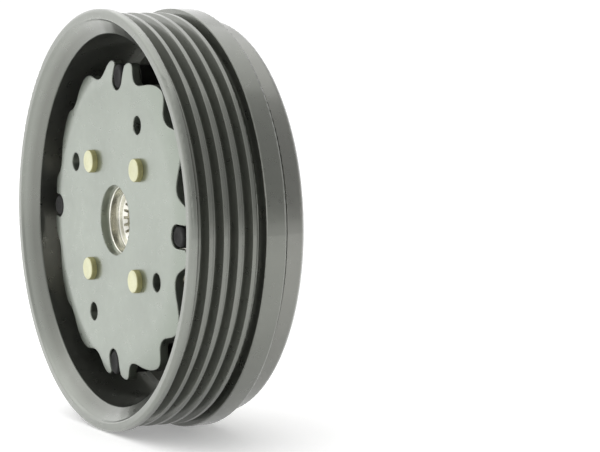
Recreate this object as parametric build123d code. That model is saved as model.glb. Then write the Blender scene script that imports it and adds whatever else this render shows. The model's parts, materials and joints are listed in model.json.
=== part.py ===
from build123d import *
import os
from math import cos, sin, pi, radians, sqrt

# Belt-driven pulley and hub unit of an air-conditioning compressor.
# Frame: millimetres, +Y along the axis of rotation from the front (drive plate
# side) to the rear (compressor side), +Z up.  The origin is on the axis, at the
# middle of the bearing's bore, where the compressor's nose holds the unit.
# Axial places are written as depths behind the front rim plane and shifted.

# ---------------------------------------------------------------- dimensions
DEPTH_REF = 28.8            # depth of the bearing's middle plane = origin

RIB_PITCH = 3.56            # PK belt profile
RIB_COUNT = 5               # V grooves for a five-rib belt
RIB_CREST_R = 48.2
RIB_ROOT_R = 45.85
RIB_FIRST_GROOVE = 3.7     # depth of the first groove's middle
RIB_HALF_TOP = 1.33         # half width of a groove at the crest radius
RIB_HALF_ROOT = 0.32        # half width of the groove's floor

RIM_FLANGE_R = 49.1
RIM_MOUTH_R = 46.9          # inner edge of the flat front annulus
RIM_BORE_R = 43.3           # end of the funnel, and the bore behind it
RIM_FUNNEL = 3.4            # depth of the funnel
RIM_MOUTH_STEP_R = 46.45    # foot of the small rounded step inside the annulus
RIM_MOUTH_STEP = 0.6
RIM_FLANGE_REAR = 1.8       # where the front flange's rear edge meets the first groove
RIM_BAND_FRONT = 18.55      # steep wall between the last groove and the band
RIM_BAND_R = 49.1           # plain band behind the grooves
RIM_REAR = 23.7
RIM_SEAT_R = 44.7           # counterbore that takes the dish's neck
RIM_SEAT = 20.4

DISH_R = 46.4
DISH_STEP = 25.0            # front of the dish's full diameter
DISH_FACE = 30.4            # flat rear face
DISH_WEB_FRONT = 27.2
DISH_CUP_R = 41.6           # inside of the neck
COLLAR_R = 26.4
COLLAR_FRONT = 17.3
COLLAR_REAR = 40.0
COLLAR_LIP_R = 21.7
COLLAR_FOOT = 1.9           # chamfered foot between collar and face
TOOL_HOLE_R = 1.8
TOOL_HOLE_PCR = 32.8

BRG_BORE_R = 15.0           # 30 x 47 x 18 double-row bearing
BRG_OD_R = 23.5
BRG_WIDTH = 18.0
BRG_FRONT = DEPTH_REF - BRG_WIDTH / 2
BRG_REAR = DEPTH_REF + BRG_WIDTH / 2
BRG_INNER_LAND_R = 17.7
BRG_OUTER_LAND_R = 20.8
BALL_R = 2.38
BALL_PITCH_R = 19.25
BALL_COUNT = 17
BALL_ROW = 3.75             # each row's distance from the middle plane
RACE_R = 2.47
RACE_CLEAR = 0.03

CLIP_FRONT = 18.5
CLIP_R = 24.7
CLIP_INNER_R = 22.0

PLATE_FRONT = 4.3
PLATE_T = 2.0
PLATE_FLAT_R = 31.0         # the rim of the plate bends rearward beyond this
PLATE_BEND = 20.0            # bend radius of that rim, at the front surface
PLATE_HOLE_R = 8.2
SLOT_HALF = 2.75
SLOT_END_R = 33.0           # centre of the slot's closed end
SLOT_PHASE = 88.4           # degrees from +X towards +Z, seen from the front
HOLD_HOLE_R = 2.2
HOLD_HOLE_PCR = 25.8
HOLD_HOLE_PHASE = 61.7
RIVET_PCR = 18.05
RIVET_PHASE = 43.9
RIVET_R = 2.75
RIVET_H = 1.4

HUB_FLANGE_R = 22.2
HUB_FLANGE_T = 2.3
HUB_BOSS_R = 11.0
HUB_REAR = 17.5
HUB_RECESS_R = 7.6
HUB_RECESS = 2.6
HUB_PILOT_R = 5.80
SPLINE_MINOR_R = 5.0
SPLINE_MAJOR_R = 5.7
SPLINE_TEETH = 20

PIN_PCR = 33.0
PIN_BODY_R = 3.2
PIN_FRONT = 6.1
PIN_CORE_R = 1.4
PIN_SHANK_R = 2.0
PIN_TAIL_R = 2.45
PIN_TAIL_H = 2.4
BUSH_HALF = 2.45
BUSH_SPAN = 1.0             # centre distance of the bush's two round ends
BUSH_FRONT = 4.55
BUSH_REAR = 9.2


# ------------------------------------------------------------------- helpers
def y_of(depth):
    return depth - DEPTH_REF


def rounded_face(points):
    """Closed face in the XY plane from (radius, depth, corner radius) rows."""
    n = len(points)
    v = [Vector(p[0], y_of(p[1]), 0) for p in points]
    edges, ends = [], []
    for i in range(n):
        rr = points[i][2] if len(points[i]) > 2 else 0
        a, b, c = v[i - 1], v[i], v[(i + 1) % n]
        if rr <= 0:
            ends.append((b, b))
            continue
        u = (a - b).normalized()
        w = (c - b).normalized()
        half = radians(u.get_angle(w)) / 2
        t = rr * cos(half) / sin(half)
        p1, p2 = b + u * t, b + w * t
        bis = (u + w).normalized()
        centre = b + bis * (rr / sin(half))
        mid = centre - bis * rr
        ends.append((p1, p2))
        edges.append(ThreePointArc(p1, mid, p2))
    for i in range(n):
        a, b = ends[i][1], ends[(i + 1) % n][0]
        if (a - b).length > 1e-6:
            edges.append(Line(a, b))
    return Face(Wire(edges))


def turned(points):
    """Solid of revolution about the axis."""
    return revolve(rounded_face(points), Axis.Y, 360)


def rod(radius, d0, d1, x=0.0, z=0.0):
    """Round bar along the axis direction between two depths."""
    s = Solid.make_cylinder(radius, d1 - d0)
    return Pos(x, y_of(d0), z) * (Rot(-90, 0, 0) * s)


def polar(radius, degrees):
    return radius * cos(radians(degrees)), radius * sin(radians(degrees))


def prism(xz, d0, d1):
    """Prism along the axis from a closed list of (x, z) points."""
    pts = [Vector(x, y_of(d0), z) for x, z in xz]
    f = Face(Wire.make_polygon(pts, close=True))
    return extrude(f, amount=d1 - d0, dir=(0, 1, 0))


def save(shape, name, label=None):
    shape.label = name
    export_step(shape, "parts/%s.step" % name)


os.makedirs("parts", exist_ok=True)
PINS = [SLOT_PHASE + 90 * k for k in range(4)]

# ---------------------------------------------------------------- pulley rim
outer = [
    (RIM_MOUTH_STEP_R, RIM_MOUTH_STEP, 0.15),
    (RIM_MOUTH_R, 0.0, 0.40),
    (RIM_FLANGE_R, 0.0, 0.90),
]
g = RIB_FIRST_GROOVE
outer.append((RIM_FLANGE_R, RIM_FLANGE_REAR, 0.25))
for k in range(RIB_COUNT):
    gk = g + RIB_PITCH * k
    outer += [(RIB_ROOT_R, gk - RIB_HALF_ROOT, 0.30), (RIB_ROOT_R, gk + RIB_HALF_ROOT, 0.30)]
    if k < RIB_COUNT - 1:
        outer += [(RIB_CREST_R, gk + RIB_HALF_TOP, 0.20),
                  (RIB_CREST_R, gk + RIB_PITCH - RIB_HALF_TOP, 0.20)]
outer += [
    (RIM_BAND_R, RIM_BAND_FRONT, 0.25),
    (RIM_BAND_R, RIM_REAR, 0.70),
    (RIM_SEAT_R, RIM_REAR),
    (RIM_SEAT_R, RIM_SEAT),
    (RIM_BORE_R, RIM_SEAT),
    (RIM_BORE_R, RIM_FUNNEL, 0.60),
]
pulley_rim = turned(outer)
save(pulley_rim, "pulley_rim")

# ------------------------------------------------- rotor dish with its collar
dish = turned([
    (RIM_SEAT_R, RIM_SEAT),
    (RIM_SEAT_R, DISH_STEP),
    (DISH_R, DISH_STEP, 0.25),
    (DISH_R, DISH_FACE - 1.55, 1.00),
    (45.1, DISH_FACE - 0.35, 2.00),
    (42.3, DISH_FACE, 3.00),
    (COLLAR_R + COLLAR_FOOT, DISH_FACE),
    (COLLAR_R, DISH_FACE + COLLAR_FOOT, 0.40),
    (COLLAR_R, COLLAR_REAR, 1.25),
    (COLLAR_LIP_R, COLLAR_REAR, 0.90),
    (COLLAR_LIP_R, BRG_REAR),
    (BRG_OD_R, BRG_REAR),
    (BRG_OD_R, CLIP_FRONT + 1.3),
    (CLIP_R, CLIP_FRONT + 1.3),
    (CLIP_R, CLIP_FRONT),
    (BRG_OD_R, CLIP_FRONT),
    (BRG_OD_R, COLLAR_FRONT, 0.30),
    (COLLAR_R, COLLAR_FRONT, 0.60),
    (COLLAR_R, DISH_WEB_FRONT, 2.00),
    (DISH_CUP_R, DISH_WEB_FRONT, 1.50),
    (DISH_CUP_R, RIM_SEAT),
])
for a in PINS:
    x, z = polar(PIN_PCR, a)
    dish = dish - rod(PIN_SHANK_R, DISH_WEB_FRONT - 2, DISH_FACE + 2, x, z)
for a in (PINS[0] - 21.0, PINS[2] - 21.0):
    x, z = polar(TOOL_HOLE_PCR, a)
    dish = dish - rod(TOOL_HOLE_R, DISH_WEB_FRONT - 2, DISH_FACE + 2, x, z)
save(dish, "rotor_dish")

# --------------------------------------------------------------------- bearing
mid = DEPTH_REF


def race(row, inner):
    """Ring torus that cuts a ball track."""
    rc = BALL_PITCH_R + (RACE_R - BALL_R - RACE_CLEAR) * (1 if inner else -1)
    c = Face(Wire.make_circle(RACE_R, Plane(origin=(rc, row, 0), z_dir=(0, 0, 1))))
    return revolve(c, Axis.Y, 360)


inner_ring = turned([
    (BRG_BORE_R, BRG_FRONT, 0),
    (BRG_BORE_R, BRG_REAR, 0),
    (BRG_INNER_LAND_R, BRG_REAR, 0.20),
    (BRG_INNER_LAND_R, BRG_FRONT, 0.20),
])
inner_ring = inner_ring - turned([
    (BRG_BORE_R - 1, BRG_FRONT - 1), (BRG_BORE_R + 0.9, BRG_FRONT - 1),
    (BRG_BORE_R + 0.9, BRG_FRONT), (BRG_BORE_R, BRG_FRONT + 0.9), (BRG_BORE_R - 1, BRG_FRONT + 0.9)])
inner_ring = inner_ring - turned([
    (BRG_BORE_R - 1, BRG_REAR + 1), (BRG_BORE_R + 0.9, BRG_REAR + 1),
    (BRG_BORE_R + 0.9, BRG_REAR), (BRG_BORE_R, BRG_REAR - 0.9), (BRG_BORE_R - 1, BRG_REAR - 0.9)])
for row in (-BALL_ROW, BALL_ROW):
    inner_ring = inner_ring - race(row, True)
save(inner_ring, "bearing_inner_ring")

SEAL_T = 0.9
SEAL_INSET = 0.35
SEAL_GROOVE_R = BRG_OUTER_LAND_R + 0.5
outer_ring = turned([
    (BRG_OUTER_LAND_R, BRG_FRONT, 0.15),
    (BRG_OD_R, BRG_FRONT, 0.50),
    (BRG_OD_R, BRG_REAR, 0.50),
    (BRG_OUTER_LAND_R, BRG_REAR, 0.15),
    (BRG_OUTER_LAND_R, BRG_REAR - SEAL_INSET),
    (SEAL_GROOVE_R, BRG_REAR - SEAL_INSET),
    (SEAL_GROOVE_R, BRG_REAR - SEAL_INSET - SEAL_T),
    (BRG_OUTER_LAND_R, BRG_REAR - SEAL_INSET - SEAL_T),
    (BRG_OUTER_LAND_R, BRG_FRONT + SEAL_INSET + SEAL_T),
    (SEAL_GROOVE_R, BRG_FRONT + SEAL_INSET + SEAL_T),
    (SEAL_GROOVE_R, BRG_FRONT + SEAL_INSET),
    (BRG_OUTER_LAND_R, BRG_FRONT + SEAL_INSET),
])
for row in (-BALL_ROW, BALL_ROW):
    outer_ring = outer_ring - race(row, False)
save(outer_ring, "bearing_outer_ring")

for name, d0 in (("bearing_seal_front", BRG_FRONT + SEAL_INSET),
                 ("bearing_seal_rear", BRG_REAR - SEAL_INSET - SEAL_T)):
    save(turned([(BRG_INNER_LAND_R + 0.06, d0, 0.12), (SEAL_GROOVE_R, d0),
                 (SEAL_GROOVE_R, d0 + SEAL_T), (BRG_INNER_LAND_R + 0.06, d0 + SEAL_T, 0.12)]), name)

for name, cage_name, row, side in (("balls_front_row", "ball_cage_front", -BALL_ROW, -1),
                                   ("balls_rear_row", "ball_cage_rear", BALL_ROW, 1)):
    balls = []
    for k in range(BALL_COUNT):
        x, z = polar(BALL_PITCH_R, 360 / BALL_COUNT * (k + (0.5 if side > 0 else 0)))
        balls.append(Pos(x, row, z) * Solid.make_sphere(BALL_R, angle1=-90, angle2=90))
    save(Compound(children=balls), name)
    lo, hi = sorted((mid + row - side * 0.7, mid + row + side * 2.9))
    cage = turned([(18.25, lo), (20.25, lo), (20.25, hi), (18.25, hi)])
    for k in range(BALL_COUNT):
        t = 360 / BALL_COUNT * (k + (0.5 if side > 0 else 0))
        pocket = Pos(0, row, 0) * Rot(0, -t, 0) * Rot(0, 90, 0) * (Pos(0, 0, 16.5) * Solid.make_cylinder(BALL_R + 0.07, 6))
        cage = cage - pocket
    save(cage, cage_name)

# ------------------------------------------------------- bearing retaining clip
clip = turned([(CLIP_INNER_R, CLIP_FRONT + 0.02), (CLIP_R - 0.1, CLIP_FRONT + 0.02),
               (CLIP_R - 0.1, CLIP_FRONT + 1.28), (CLIP_INNER_R, CLIP_FRONT + 1.28)])
gap = prism([(0, 0), polar(40, -99), polar(40, -81)], CLIP_FRONT - 1, CLIP_FRONT + 2)
clip = clip - gap
for a in (-104, -76):
    x, z = polar(22.35, a)
    clip = clip + (rod(1.75, CLIP_FRONT + 0.02, CLIP_FRONT + 1.28, x, z) - rod(0.85, CLIP_FRONT - 1, CLIP_FRONT + 2, x, z))
    clip = clip - rod(0.85, CLIP_FRONT - 1, CLIP_FRONT + 2, x, z)
clip = clip - gap
save(clip, "bearing_retaining_clip")

# ------------------------------------------------------------------ drive pins
for k, a in enumerate(PINS):
    x, z = polar(PIN_PCR, a)
    pin = rod(PIN_CORE_R, PIN_FRONT, BUSH_REAR, x, z)
    pin = pin + rod(PIN_BODY_R, BUSH_REAR, DISH_WEB_FRONT, x, z)
    pin = pin + rod(PIN_SHANK_R, DISH_WEB_FRONT - 0.5, DISH_FACE + 0.5, x, z)
    tail = rounded_face([(0, DISH_FACE), (PIN_TAIL_R, DISH_FACE, 0.15),
                         (PIN_TAIL_R - 0.15, DISH_FACE + PIN_TAIL_H, 0.60), (0, DISH_FACE + PIN_TAIL_H)])
    pin = pin + Pos(x, 0, z) * revolve(tail, Axis.Y, 360)
    save(pin, "drive_pin_%d" % (k + 1))

    # rubber bush: round-ended block, long way radial, with a blind core hole
    ux, uz = polar(1, a)
    tx, tz = -uz, ux
    outline = []
    for i in range(17):
        t = -90 + 180 * i / 16
        outline.append((PIN_PCR + BUSH_SPAN + BUSH_HALF * cos(radians(t)), BUSH_HALF * sin(radians(t))))
    for i in range(17):
        t = 90 + 180 * i / 16
        outline.append((PIN_PCR + BUSH_HALF * cos(radians(t)), BUSH_HALF * sin(radians(t))))

    def placed(r, t):
        return (r * ux + t * tx, r * uz + t * tz)

    bush = prism([placed(r, t) for r, t in outline], BUSH_FRONT + 0.6, BUSH_REAR)
    small = [(PIN_PCR + 0.5 + (r - PIN_PCR - 0.5) * 0.84, t * 0.80) for r, t in outline]
    crown = loft([
        Face(Wire.make_polygon([Vector(q[0], y_of(BUSH_FRONT + 0.6), q[1]) for q in [placed(r, t) for r, t in outline]], close=True)),
        Face(Wire.make_polygon([Vector(q[0], y_of(BUSH_FRONT), q[1]) for q in [placed(r, t) for r, t in small]], close=True)),
    ], ruled=True)
    bush = bush + crown
    bush = bush - rod(PIN_CORE_R, PIN_FRONT, BUSH_REAR + 1, x, z)
    save(bush, "damper_bush_%d" % (k + 1))

# ----------------------------------------------------------------- drive plate
# Half of one quarter's outline, as angle from the slot's middle and radius.
HALF = [(4.6, 36.3), (6.6, 37.1), (9.4, 37.0), (12.2, 35.4), (15.2, 34.0), (18.0, 33.8),
        (22.0, 34.7), (27.0, 36.6), (31.5, 37.8), (35.5, 38.1), (39.5, 36.9), (42.5, 35.6), (45.0, 35.3)]
quarter = HALF + [(90 - p, r) for p, r in reversed(HALF[:-1])]
flower = []
for a in PINS:
    pts = [Vector(polar(r, a + p)[0], y_of(-2), polar(r, a + p)[1]) for p, r in quarter]
    flower.append((pts[0], Spline(*pts), pts[-1]))
edges = []
for i in range(4):
    edges.append(flower[i][1])
    edges.append(Line(flower[i][2], flower[(i + 1) % 4][0]))
blank = extrude(Face(Wire(edges)), amount=16, dir=(0, 1, 0))


def bent_rim(thickness):
    """Front-surface arc of the plate's rim, offset rearward by a thickness."""
    r = PLATE_BEND - thickness
    span = 48.0
    cy = PLATE_FRONT + PLATE_BEND
    a0 = Vector(PLATE_FLAT_R, y_of(cy - r), 0)
    am = Vector(PLATE_FLAT_R + r * sin(radians(span / 2)), y_of(cy - r * cos(radians(span / 2))), 0)
    a1 = Vector(PLATE_FLAT_R + r * sin(radians(span)), y_of(cy - r * cos(radians(span))), 0)
    return a0, am, a1


f0, fm, f1 = bent_rim(0)
b0, bm, b1 = bent_rim(PLATE_T)
axis_f, axis_b = Vector(0, y_of(PLATE_FRONT), 0), Vector(0, y_of(PLATE_FRONT + PLATE_T), 0)
section = Face(Wire([Line(axis_f, f0), ThreePointArc(f0, fm, f1), Line(f1, b1),
                     ThreePointArc(b1, bm, b0), Line(b0, axis_b), Line(axis_b, axis_f)]))
plate = revolve(section, Axis.Y, 360)
plate = plate & blank
plate = plate - rod(PLATE_HOLE_R, -2, 14)
for a in PINS:
    x, z = polar(SLOT_END_R, a)
    plate = plate - rod(SLOT_HALF, -2, 14, x, z)
    ux, uz = polar(1, a)
    plate = plate - prism([(SLOT_END_R * ux - SLOT_HALF * -uz, SLOT_END_R * uz - SLOT_HALF * ux),
                           (50 * ux - SLOT_HALF * -uz, 50 * uz - SLOT_HALF * ux),
                           (50 * ux + SLOT_HALF * -uz, 50 * uz + SLOT_HALF * ux),
                           (SLOT_END_R * ux + SLOT_HALF * -uz, SLOT_END_R * uz + SLOT_HALF * ux)], -2, 14)
for k in range(4):
    x, z = polar(HOLD_HOLE_PCR, HOLD_HOLE_PHASE + 90 * k)
    plate = plate - rod(HOLD_HOLE_R, -2, 14, x, z)
    x, z = polar(RIVET_PCR, RIVET_PHASE + 90 * k)
    plate = plate - rod(1.75, -2, 14, x, z)
save(plate, "drive_plate")

# ------------------------------------------------------------------------- hub
HUB_FRONT = PLATE_FRONT + PLATE_T
HUB_BACK = HUB_FRONT + HUB_FLANGE_T
hub = turned([
    (HUB_RECESS_R, HUB_FRONT, 0.30),
    (HUB_FLANGE_R, HUB_FRONT),
    (HUB_FLANGE_R, HUB_BACK, 0.50),
    (HUB_BOSS_R, HUB_BACK, 1.20),
    (HUB_BOSS_R, HUB_REAR, 0.50),
    (HUB_PILOT_R + 0.5, HUB_REAR),
    (HUB_PILOT_R, HUB_REAR - 0.5),
    (HUB_PILOT_R, HUB_REAR - 3.5),
    (SPLINE_MINOR_R, HUB_REAR - 3.5),
    (SPLINE_MINOR_R, HUB_FRONT + HUB_RECESS + 0.9),
    (SPLINE_MAJOR_R + 0.2, HUB_FRONT + HUB_RECESS),
    (HUB_RECESS_R, HUB_FRONT + HUB_RECESS, 0.40),
])
teeth = []
for i in range(SPLINE_TEETH):
    c = 360 / SPLINE_TEETH * i
    w = 360 / SPLINE_TEETH
    teeth += [polar(SPLINE_MINOR_R - 0.3, c - 0.30 * w), polar(SPLINE_MAJOR_R, c - 0.16 * w),
              polar(SPLINE_MAJOR_R, c + 0.16 * w), polar(SPLINE_MINOR_R - 0.3, c + 0.30 * w)]
hub = hub - prism(teeth, HUB_FRONT + 1, HUB_REAR - 3.4)
for k in range(4):
    x, z = polar(RIVET_PCR, RIVET_PHASE + 90 * k)
    hub = hub - rod(1.75, HUB_FRONT - 1, HUB_BACK + 1, x, z)
save(hub, "splined_hub")

# ------------------------------------------------------------------ hub rivets
for k in range(4):
    x, z = polar(RIVET_PCR, RIVET_PHASE + 90 * k)
    prof = rounded_face([
        (0, PLATE_FRONT - RIVET_H - 0.05), (RIVET_R - 0.05, PLATE_FRONT - RIVET_H, 0.40), (RIVET_R, PLATE_FRONT, 0.05),
        (1.75, PLATE_FRONT), (1.75, HUB_BACK), (2.60, HUB_BACK, 0.05),
        (2.50, HUB_BACK + 1.2, 0.40), (0, HUB_BACK + 1.25)])
    save(Pos(x, 0, z) * revolve(prof, Axis.Y, 360), "hub_rivet_%d" % (k + 1))
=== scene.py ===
import json
import math

import bmesh
import bpy
from mathutils import Matrix, Vector, noise


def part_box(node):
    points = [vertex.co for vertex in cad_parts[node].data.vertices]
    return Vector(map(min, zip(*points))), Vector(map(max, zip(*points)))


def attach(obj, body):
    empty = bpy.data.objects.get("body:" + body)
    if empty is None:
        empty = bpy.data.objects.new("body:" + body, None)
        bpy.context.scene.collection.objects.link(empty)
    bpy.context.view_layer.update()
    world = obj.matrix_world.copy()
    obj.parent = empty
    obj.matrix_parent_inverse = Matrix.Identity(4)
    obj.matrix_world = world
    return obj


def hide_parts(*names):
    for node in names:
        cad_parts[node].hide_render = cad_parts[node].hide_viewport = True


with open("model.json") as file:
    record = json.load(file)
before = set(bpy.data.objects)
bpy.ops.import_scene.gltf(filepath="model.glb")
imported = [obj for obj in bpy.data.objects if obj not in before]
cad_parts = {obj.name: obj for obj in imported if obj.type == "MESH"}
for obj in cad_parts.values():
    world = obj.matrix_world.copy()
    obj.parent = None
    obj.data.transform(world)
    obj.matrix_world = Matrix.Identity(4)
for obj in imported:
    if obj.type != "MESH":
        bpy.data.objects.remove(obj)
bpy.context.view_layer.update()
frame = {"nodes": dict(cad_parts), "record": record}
N = frame["nodes"]
S = 0.001                      # the numbers below are millimetres
DEPTH_REF = 28.8               # depth of the origin behind the front rim plane


def yd(depth):
    return (depth - DEPTH_REF) * S


# ------------------------------------------------------------------ materials
def new_mat(name):
    m = bpy.data.materials.new(name)
    m.use_nodes = True
    t = m.node_tree
    t.nodes.clear()
    out = t.nodes.new("ShaderNodeOutputMaterial")
    b = t.nodes.new("ShaderNodeBsdfPrincipled")
    t.links.new(b.outputs[0], out.inputs["Surface"])
    return m, t, b


class Net:
    """Short names for the nodes of one material."""

    def __init__(self, tree):
        self.t = tree
        self.geo = tree.nodes.new("ShaderNodeTexCoord").outputs["Object"]

    def node(self, kind, **values):
        n = self.t.nodes.new(kind)
        for k, v in values.items():
            setattr(n, k, v)
        return n

    def link(self, a, b):
        self.t.links.new(a, b)

    def val(self, socket, v):
        if isinstance(v, (int, float, tuple, list)):
            socket.default_value = v
        else:
            self.link(v, socket)

    def noise(self, scale, detail=4.0, rough=0.55, vec=None, distortion=0.0):
        n = self.node("ShaderNodeTexNoise")
        n.inputs["Scale"].default_value = scale
        n.inputs["Detail"].default_value = detail
        n.inputs["Roughness"].default_value = rough
        n.inputs["Distortion"].default_value = distortion
        self.link(vec if vec is not None else self.geo, n.inputs["Vector"])
        return n.outputs["Fac"]

    def voronoi(self, scale, feature="F1", vec=None):
        n = self.node("ShaderNodeTexVoronoi", feature=feature)
        n.inputs["Scale"].default_value = scale
        self.link(vec if vec is not None else self.geo, n.inputs["Vector"])
        return n.outputs["Distance"]

    def math(self, op, a, b=0.0, c=0.0, clamp=False):
        n = self.node("ShaderNodeMath", operation=op, use_clamp=clamp)
        for i, v in enumerate((a, b, c)):
            self.val(n.inputs[i], v)
        return n.outputs[0]

    def span(self, x, a, b, lo=0.0, hi=1.0):
        n = self.node("ShaderNodeMapRange", clamp=True)
        self.val(n.inputs["Value"], x)
        n.inputs["From Min"].default_value = a
        n.inputs["From Max"].default_value = b
        n.inputs["To Min"].default_value = lo
        n.inputs["To Max"].default_value = hi
        return n.outputs["Result"]

    def mix(self, f, a, b, kind="MIX"):
        n = self.node("ShaderNodeMix", data_type="RGBA", blend_type=kind)
        self.val(n.inputs["Factor"], f)
        self.val(n.inputs[6], a if not isinstance(a, tuple) else (*a[:3], 1.0))
        self.val(n.inputs[7], b if not isinstance(b, tuple) else (*b[:3], 1.0))
        return n.outputs[2]

    def polar(self):
        """(radius from the axis, place along the axis, turn coordinate) of a point."""
        sep = self.node("ShaderNodeSeparateXYZ")
        self.link(self.geo, sep.inputs[0])
        x, y, z = sep.outputs
        r = self.math("SQRT", self.math("ADD", self.math("MULTIPLY", x, x), self.math("MULTIPLY", z, z)))
        return r, y, self.math("ARCTAN2", z, x)

    def rings(self, fine=26000.0):
        """Fine turned lines that run round the axis: noise of radius and depth only."""
        r, y, a = self.polar()
        comb = self.node("ShaderNodeCombineXYZ")
        self.link(r, comb.inputs[0])
        self.link(y, comb.inputs[1])
        self.link(self.math("MULTIPLY", a, 0.00002), comb.inputs[2])
        return self.noise(fine, 2.0, 0.6, comb.outputs[0]), self.noise(fine * 0.12, 2.0, 0.5, comb.outputs[0])

    def bump(self, height, strength, distance, normal=None):
        n = self.node("ShaderNodeBump")
        n.inputs["Strength"].default_value = strength
        n.inputs["Distance"].default_value = distance
        self.link(height, n.inputs["Height"])
        if normal is not None:
            self.link(normal, n.inputs["Normal"])
        return n.outputs[0]

    def round_edge(self, radius):
        n = self.node("ShaderNodeBevel", samples=4)
        n.inputs["Radius"].default_value = radius
        return n.outputs[0]

    def edge_wear(self, radius):
        """1 at sharp edges, 0 on flat places: how far the rounded normal leaves the true one."""
        bev = self.round_edge(radius)
        g = self.node("ShaderNodeNewGeometry").outputs["Normal"]
        d = self.node("ShaderNodeVectorMath", operation="DOT_PRODUCT")
        self.link(bev, d.inputs[0])
        self.link(g, d.inputs[1])
        return self.span(d.outputs["Value"], 0.985, 0.80)


def coated(name, base, worn, dust, metallic, rough, lines, coat=0.0, spots=0.35, edge=0.6, soft=0.0, front=None):
    """Dark coated steel: mottled tone, fine texture, worn lighter edges, and, when front is given, a painted highlight
    that lightens the front face.
    """
    m, t, b = new_mat(name)
    k = Net(t)
    big = k.noise(34.0, 3.0, 0.6)
    mid = k.noise(420.0, 5.0, 0.65)
    fine = k.noise(5200.0, 3.0, 0.6)
    tone = k.mix(k.span(big, 0.32, 0.68), tuple(c * 0.92 for c in base), tuple(c * 1.08 for c in base))
    tone = k.mix(k.span(mid, 0.50, 0.78, 0.0, spots), tone, dust)
    # painted highlight: near the front (along the axis up to front[0]) the tone is mixed 85 % toward the lighter
    # front[2] colour, fading to none at front[1]
    if front:
        tone = k.mix(k.span(k.polar()[1], front[0], front[1], 0.85, 0.0), tone, front[2])
    if edge:
        wear = k.math("MULTIPLY", k.edge_wear(0.00025), k.span(k.noise(900.0, 4.0, 0.7), 0.35, 0.62))
        tone = k.mix(k.math("MULTIPLY", wear, edge), tone, worn)
    k.link(tone, b.inputs["Base Color"])
    b.inputs["Metallic"].default_value = metallic
    k.link(k.span(mid, 0.3, 0.75, rough - 0.05, rough + 0.09), b.inputs["Roughness"])
    b.inputs["Coat Weight"].default_value = coat
    b.inputs["Coat Roughness"].default_value = 0.12
    n = k.bump(fine, 0.06, 0.000008, k.round_edge(soft) if soft else None)
    n = k.bump(mid, 0.03, 0.00002, n)
    if lines:
        r1, r2 = k.rings()
        n = k.bump(r1, lines, 0.000012, n)
        n = k.bump(r2, lines * 0.8, 0.00003, n)
    k.link(n, b.inputs["Normal"])
    return m


def machined(name, base, dark, rough, lines, fine=26000.0, metallic=1.0):
    """Bright turned or ground steel with fine rings round the axis."""
    m, t, b = new_mat(name)
    k = Net(t)
    r1, r2 = k.rings(fine)
    mid = k.noise(700.0, 4.0, 0.6)
    tone = k.mix(k.span(r2, 0.35, 0.65), base, tuple(c * 0.86 for c in base))
    tone = k.mix(k.span(mid, 0.55, 0.80, 0.0, 0.5), tone, dark)
    k.link(tone, b.inputs["Base Color"])
    b.inputs["Metallic"].default_value = metallic
    k.link(k.span(r1, 0.3, 0.7, rough - 0.04, rough + 0.08), b.inputs["Roughness"])
    n = k.bump(r1, lines, 0.00001)
    n = k.bump(mid, 0.12, 0.00003, n)
    k.link(n, b.inputs["Normal"])
    return m


def plated(name, base, dark, rough, peen):
    """Yellow-passivated steel: cloudy tint, fine pitting, dull hollows."""
    m, t, b = new_mat(name)
    k = Net(t)
    cloud = k.noise(260.0, 3.0, 0.6)
    pit = k.noise(1900.0, 5.0, 0.7)
    fine = k.noise(7000.0, 3.0, 0.6)
    tone = k.mix(k.span(cloud, 0.35, 0.66), base, tuple(c * 0.88 for c in base))
    tone = k.mix(k.span(pit, 0.52, 0.74, 0.0, 0.75 if peen else 0.4), tone, dark)
    k.link(tone, b.inputs["Base Color"])
    b.inputs["Metallic"].default_value = 0.55
    k.link(k.span(pit, 0.3, 0.75, rough - 0.06, rough + 0.12), b.inputs["Roughness"])
    n = k.bump(pit, 0.45 if peen else 0.18, 0.00012 if peen else 0.00005)
    n = k.bump(fine, 0.2, 0.00002, n)
    k.link(n, b.inputs["Normal"])
    return m


def moulded(name, base, light, rough, grain, sheen=0.0, gloss=0.5):
    """Moulded rubber or plastic: soft mottling, fine grain, dusty high spots."""
    m, t, b = new_mat(name)
    k = Net(t)
    cloud = k.noise(150.0, 4.0, 0.6)
    fine = k.noise(grain, 4.0, 0.65)
    tone = k.mix(k.span(cloud, 0.40, 0.70, 0.0, 0.55), base, light)
    tone = k.mix(k.span(fine, 0.58, 0.80, 0.0, 0.35), tone, light)
    k.link(tone, b.inputs["Base Color"])
    k.link(k.span(fine, 0.3, 0.75, rough - 0.06, rough + 0.12), b.inputs["Roughness"])
    b.inputs["Specular IOR Level"].default_value = gloss
    if sheen:
        b.inputs["Sheen Weight"].default_value = sheen
    n = k.bump(fine, 0.25, 0.00004)
    k.link(n, b.inputs["Normal"])
    return m


# The rim's front entry paints a highlight: its front face, to 1.0 mm depth and fading out by 2.2 mm, is lightened
# toward (0.255, 0.268, 0.240).
RIM = coated("coated_steel_rim_look", (0.180, 0.187, 0.166), (0.46, 0.45, 0.41), (0.215, 0.22, 0.195), 0.9, 0.30, 0.16, coat=0.8, spots=0.2,
             front=(-0.0278, -0.0266, (0.255, 0.268, 0.240)))
DISH = coated("coated_steel_dish_look", (0.200, 0.203, 0.184), (0.46, 0.44, 0.40), (0.235, 0.235, 0.21), 0.9, 0.30, 0.16, coat=0.8, spots=0.2)
PLATE = coated("coated_plate_look", (0.290, 0.321, 0.277), (0.55, 0.56, 0.50), (0.321, 0.348, 0.304), 0.9, 0.30, 0.0, coat=0.6, spots=0.10, soft=0.0006)
HUB = machined("machined_hub_look", (0.86, 0.85, 0.77), (0.52, 0.50, 0.43), 0.20, 0.22)
RACE = machined("ground_race_look", (0.78, 0.765, 0.70), (0.58, 0.56, 0.50), 0.17, 0.14, 34000.0)
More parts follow.
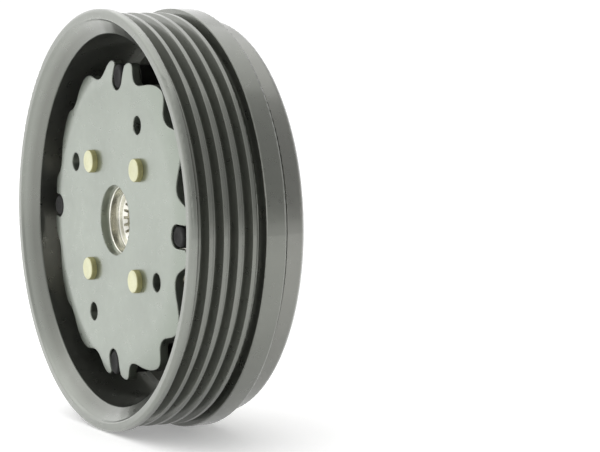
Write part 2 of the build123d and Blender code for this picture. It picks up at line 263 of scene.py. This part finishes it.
BALL = machined("polished_ball_look", (0.80, 0.79, 0.77), (0.66, 0.65, 0.62), 0.10, 0.03, 12000.0)
RIVET = plated("yellow_zinc_look", (0.68, 0.68, 0.46), (0.53, 0.50, 0.29), 0.34, False)
# Darker copy of the rivet's yellow plating for the head sides and all behind the head: painted shade, the same finish
# darkened.
RIVET_SIDE_PAINTED_SHADE = plated("rivet_side_painted_shade_look", (0.36, 0.34, 0.16), (0.20, 0.18, 0.08), 0.45, False)
PIN_BODY = coated("pin_body_look", (0.05, 0.05, 0.048), (0.25, 0.24, 0.22), (0.07, 0.068, 0.062), 0.8, 0.40, 0.0)
TAIL = plated("peened_zinc_look", (0.70, 0.64, 0.42), (0.30, 0.26, 0.15), 0.40, True)
RUBBER = moulded("bush_rubber_look", (0.008, 0.008, 0.008), (0.020, 0.020, 0.019), 0.50, 4200.0, gloss=0.12)
SEAL = moulded("seal_rubber_look", (0.030, 0.026, 0.023), (0.075, 0.066, 0.058), 0.42, 3600.0)
CAGE = moulded("cage_polymer_look", (0.60, 0.53, 0.38), (0.70, 0.63, 0.48), 0.45, 2600.0)
SPRING = coated("spring_steel_look", (0.06, 0.06, 0.062), (0.34, 0.33, 0.31), (0.10, 0.10, 0.10), 0.7, 0.36, 0.0)

LOOKS = {
    "coated_steel_rim": RIM, "coated_steel_dish": DISH, "coated_plate": PLATE, "machined_steel": HUB,
    "bearing_steel": RACE, "zinc_yellow": RIVET, "rubber": RUBBER, "seal_rubber": SEAL,
    "cage_polymer": CAGE, "spring_steel": SPRING,
}
for part in frame["record"]["subparts"]:
    node = N[part["node"]]
    look = LOOKS[part["material_slot"]]
    if part["node"].startswith("balls_"):
        look = BALL
    node.data.materials.clear()
    node.data.materials.append(look)


# -------------------------------------------------------------------- meshes
def mesh_object(name, bm, look):
    bmesh.ops.recalc_face_normals(bm, faces=bm.faces)
    me = bpy.data.meshes.new(name)
    bm.to_mesh(me)
    bm.free()
    for p in me.polygons:
        p.use_smooth = True
    ob = bpy.data.objects.new(name, me)
    bpy.context.scene.collection.objects.link(ob)
    me.materials.append(look)
    return ob


def lathe(profile, steps, centre, shape=None):
    """Closed turned piece along +Y from (radius, depth) rows, both ends on the axis."""
    bm = bmesh.new()
    cx, cz = centre
    rows = []
    for r, d in profile:
        if r < 1e-6:
            rows.append([bm.verts.new((cx * S, yd(d), cz * S))])
            continue
        ring = []
        for i in range(steps):
            a = 2 * math.pi * i / steps
            rr, dd = (r, d) if shape is None else shape(r, d, a)
            ring.append(bm.verts.new(((cx + rr * math.cos(a)) * S, yd(dd), (cz + rr * math.sin(a)) * S)))
        rows.append(ring)
    for lo, hi in zip(rows, rows[1:]):
        for i in range(steps):
            j = (i + 1) % steps
            if len(lo) == 1:
                bm.faces.new((lo[0], hi[i], hi[j]))
            elif len(hi) == 1:
                bm.faces.new((lo[i], hi[0], lo[j]))
            else:
                bm.faces.new((lo[i], hi[i], hi[j], lo[j]))
    return bm


def arc(cr, cd, rad, a0, a1, n):
    """Points of a small round corner in (radius, depth)."""
    return [(cr + rad * math.cos(math.radians(a0 + (a1 - a0) * i / n)), cd + rad * math.sin(math.radians(a0 + (a1 - a0) * i / n))) for i in range(n + 1)]


def centre_of(node):
    lo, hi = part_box(node)
    return (lo.x + hi.x) / 2 / S, (lo.z + hi.z) / 2 / S


def depth_of(node):
    lo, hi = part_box(node)
    return lo.y / S + DEPTH_REF, hi.y / S + DEPTH_REF


# hub rivets: flat struck heads on the plate, rolled tails behind the hub flange
for i in range(1, 5):
    node = "hub_rivet_%d" % i
    c = centre_of(node)
    d0, d1 = depth_of(node)
    face, back = d0 + 1.45, d1 - 1.25
    seed = 11.3 * i

    def struck(r, d, a, seed=seed, d0=d0, face=face):
        v = noise.noise(Vector((r * math.cos(a) * 0.5, r * math.sin(a) * 0.5, seed)))
        w = noise.noise(Vector((math.cos(a) * 1.3, math.sin(a) * 1.3, seed + 4)))
        if d < face - 0.05:
            return r - abs(0.05 * w) * (r / 2.75), d + 0.045 * (v + 1) * 0.5 * (1 if r < 2.5 else 0.4)
        return r, d

    prof = [(0, d0 + 0.14), (0.7, d0 + 0.13), (1.3, d0 + 0.07), (1.75, d0 + 0.03), (2.05, d0 + 0.01)]
    prof += arc(2.25, d0 + 0.46, 0.45, -90, -4, 7) + [(2.73, face - 0.12), (2.73, face), (1.75, face), (1.75, back)]
    prof += [(2.5, back), (2.5, back + 0.35)] + arc(2.0, back + 0.72, 0.5, 0, 90, 6) + [(1.2, d1 - 0.02), (0, d1 - 0.1)]
    ob = mesh_object("struck_rivet_%d" % i, lathe(prof, 56, c, struck), RIVET)
    ob.data.materials.append(RIVET_SIDE_PAINTED_SHADE)
    # Faces more than 0.3 mm behind the head's front, or outside radius 2.58 mm, take the darker copy: painted shade on
    # the rivet's side and on all behind it.
    for p in ob.data.polygons:
        if p.center.y > yd(d0 + 0.30) or math.hypot(p.center.x / S - c[0], p.center.z / S - c[1]) > 2.58:
            p.material_index = 1
    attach(ob, "hub")
    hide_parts(node)

# drive pins: plain body, thin shank, hammered tail on the rear face
for i in range(1, 5):
    node = "drive_pin_%d" % i
    c = centre_of(node)
    d0, d1 = depth_of(node)
    body0, web, face = 9.2, 27.2, 30.4
    seed = 5.7 * i

    def hammered(r, d, a, seed=seed, face=face, d1=d1):
        if d < face + 0.02:
            return r, d
        p = Vector((r * math.cos(a) * 0.75, r * math.sin(a) * 0.75, seed))
        v = noise.noise(p)
        w = noise.noise(Vector((math.cos(a) * 1.6, math.sin(a) * 1.6, seed + (d - face) * 0.5)))
        dent = 0.0
        for q in range(4):
            t = seed + q * 1.9
            dx, dz = r * math.cos(a) - 1.15 * math.cos(t), r * math.sin(a) - 1.15 * math.sin(t)
            dent += math.exp(-(dx * dx + dz * dz) / 0.32)
        up = (d - face) / (d1 - face)
        return max(0.0, r - 0.16 * abs(w) * (r / 2.45)), d - up * (0.30 * dent + 0.16 * (v + 1) * 0.5)

    prof = [(0, d0), (1.2, d0)] + arc(1.2, d0 + 0.2, 0.2, -90, 0, 3) + [(1.4, body0), (3.0, body0)] + arc(3.0, body0 + 0.2, 0.2, -90, 0, 3)
    prof += [(3.2, web), (2.0, web), (2.0, face), (2.05, face + 0.03), (2.32, face + 0.04)] + arc(2.25, face + 0.28, 0.20, -60, 0, 4)
    prof += [(2.44, face + 0.6), (2.45, face + 0.95), (2.42, face + 1.3), (2.34, face + 1.6), (2.22, face + 1.85), (2.05, face + 2.08), (1.82, face + 2.22),
             (1.55, face + 2.31), (1.25, face + 2.36), (0.95, face + 2.38), (0.65, face + 2.39), (0.35, face + 2.39), (0, face + 2.36)]
    ob = mesh_object("hammered_pin_%d" % i, lathe(prof, 64, c, hammered), TAIL)
    ob.data.materials.append(PIN_BODY)
    for p in ob.data.polygons:
        if p.center.y < yd(face):
            p.material_index = 1
    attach(ob, "pulley")
    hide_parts(node)

# damper bushes: moulded round-ended blocks with a rounded nose
for i in range(1, 5):
    node = "damper_bush_%d" % i
    lo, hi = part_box(node)
    mid = Vector(((lo.x + hi.x) / 2, 0, (lo.z + hi.z) / 2))
    u = mid.normalized()
    t = Vector((-u.z, 0, u.x))
    r_in = centre_of("drive_pin_%d" % i)
    r_in = math.hypot(*r_in)
    half, span = 2.45, 1.0
    d0, d1 = depth_of(node)
    n = 20
    outline = []
    for q in range(n + 1):
        w = math.radians(-90 + 180 * q / n)
        outline.append((r_in + span + half * math.cos(w), half * math.sin(w), math.cos(w), math.sin(w)))
    for q in range(n + 1):
        w = math.radians(90 + 180 * q / n)
        outline.append((r_in + half * math.cos(w), half * math.sin(w), math.cos(w), math.sin(w)))
    bm = bmesh.new()
    rows = []
    nose = 0.75
    levels = [(d1, 0.12), (d1 - 0.12, 0.0), (d0 + 3.3, 0.0), (d0 + 3.2, -0.0), (d0 + 1.2, 0.0), (d0 + nose, 0.0)]
    levels += [(d0 + nose - nose * math.sin(math.radians(v)), nose * (1 - math.cos(math.radians(v)))) for v in (15, 30, 45, 60, 75, 90)]
    levels += [(d0 - 0.0 + 0.02, 1.1), (d0 + 0.10, 1.6), (d0 + 0.16, 2.1)]
    for d, inset in levels:
        ring = []
        for r, tt, nr, nt in outline:
            rr, ss = r - nr * inset, tt - nt * inset
            ring.append(bm.verts.new((u * rr + t * ss) * S + Vector((0, yd(d), 0))))
        rows.append(ring)
    m = len(outline)
    for a, b in zip(rows, rows[1:]):
        for q in range(m):
            p = (q + 1) % m
            bm.faces.new((a[q], b[q], b[p], a[p]))
    bm.faces.new(rows[0])
    bm.faces.new(list(reversed(rows[-1])))
    ob = mesh_object("moulded_bush_%d" % i, bm, RUBBER)
    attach(ob, "pulley")
    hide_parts(node)

# ---------------------------------------------------------------- floor, lights
floor_z = -49.1 * S - 0.00002
bm = bmesh.new()
bmesh.ops.create_grid(bm, x_segments=8, y_segments=8, size=40.0, matrix=Matrix.Translation((0, 0, floor_z)))
fm, ft, fb = new_mat("pale_floor_look")
fkk = Net(ft)
fkk.link(fkk.mix(fkk.span(fkk.noise(3.0, 3.0, 0.5), 0.3, 0.7), (0.90, 0.90, 0.895), (0.91, 0.91, 0.91)), fb.inputs["Base Color"])
fb.inputs["Roughness"].default_value = 0.9
fb.inputs["Specular IOR Level"].default_value = 0.1
fb.inputs["Emission Color"].default_value = (1.0, 1.0, 1.0, 1.0)
fb.inputs["Emission Strength"].default_value = 0.30
floor = mesh_object("floor", bm, fm)

world = bpy.data.worlds.new("studio")
bpy.context.scene.world = world
world.use_nodes = True
bg = world.node_tree.nodes["Background"]
bg.inputs["Color"].default_value = (1.0, 1.0, 1.0, 1.0)
wt = world.node_tree
wc = wt.nodes.new("ShaderNodeTexCoord")
wd = wt.nodes.new("ShaderNodeVectorMath")
wd.operation = "DOT_PRODUCT"
wd.inputs[1].default_value = (-0.90, -0.43, 0.0)
wm = wt.nodes.new("ShaderNodeMapRange")
wm.inputs["From Min"].default_value, wm.inputs["From Max"].default_value = -1.0, 1.0
wm.inputs["To Min"].default_value, wm.inputs["To Max"].default_value = 0.42, 1.36
wt.links.new(wc.outputs["Generated"], wd.inputs[0])
wt.links.new(wd.outputs["Value"], wm.inputs["Value"])
wt.links.new(wm.outputs["Result"], bg.inputs["Strength"])


def area(name, place, aim, size, power, colour=(1, 1, 1)):
    d = bpy.data.lights.new(name, "AREA")
    d.shape = "RECTANGLE"
    d.size, d.size_y = size
    d.energy = power
    d.color = colour
    o = bpy.data.objects.new(name, d)
    bpy.context.scene.collection.objects.link(o)
    o.location = place
    o.rotation_mode = "QUATERNION"
    o.rotation_quaternion = (Vector(aim) - Vector(place)).to_track_quat("-Z", "Y")
    return o


area("top_box", (-0.3, -0.1, 1.1), (0, 0, 0), (1.8, 1.8), 6.0)

# -------------------------------------------------------------------- camera
A, E = math.radians(64.77), math.radians(5.38)
right = Vector((math.cos(A), math.sin(A), 0))
fwd = Vector((-math.sin(A) * math.cos(E), math.cos(A) * math.cos(E), -math.sin(E)))
up = Vector((-math.sin(A) * math.sin(E), math.cos(A) * math.sin(E), math.cos(E)))
FOCAL = 2577.35
front = Vector((0, -DEPTH_REF * S, 0))
eye = front - (right * -14.294 + (-up) * -1.162 + fwd * 599.434) * S
turn = math.atan((300.0 - 159.7) / FOCAL)
fwd2 = (fwd * math.cos(turn) + right * math.sin(turn)).normalized()
right2 = (right * math.cos(turn) - fwd * math.sin(turn)).normalized()
cam_data = bpy.data.cameras.new("camera")
cam_data.sensor_fit = "HORIZONTAL"
cam_data.sensor_width = 36.0
cam_data.lens = FOCAL * 36.0 / 600.0
cam_data.clip_start, cam_data.clip_end = 0.01, 50.0
cam = bpy.data.objects.new("camera", cam_data)
bpy.context.scene.collection.objects.link(cam)
rot = Matrix((right2, up, -fwd2)).transposed()
cam.rotation_mode = "QUATERNION"
cam.rotation_quaternion = rot.to_quaternion()
cam.location = eye
bpy.context.scene.camera = cam

bpy.context.scene.view_settings.view_transform = "Standard"
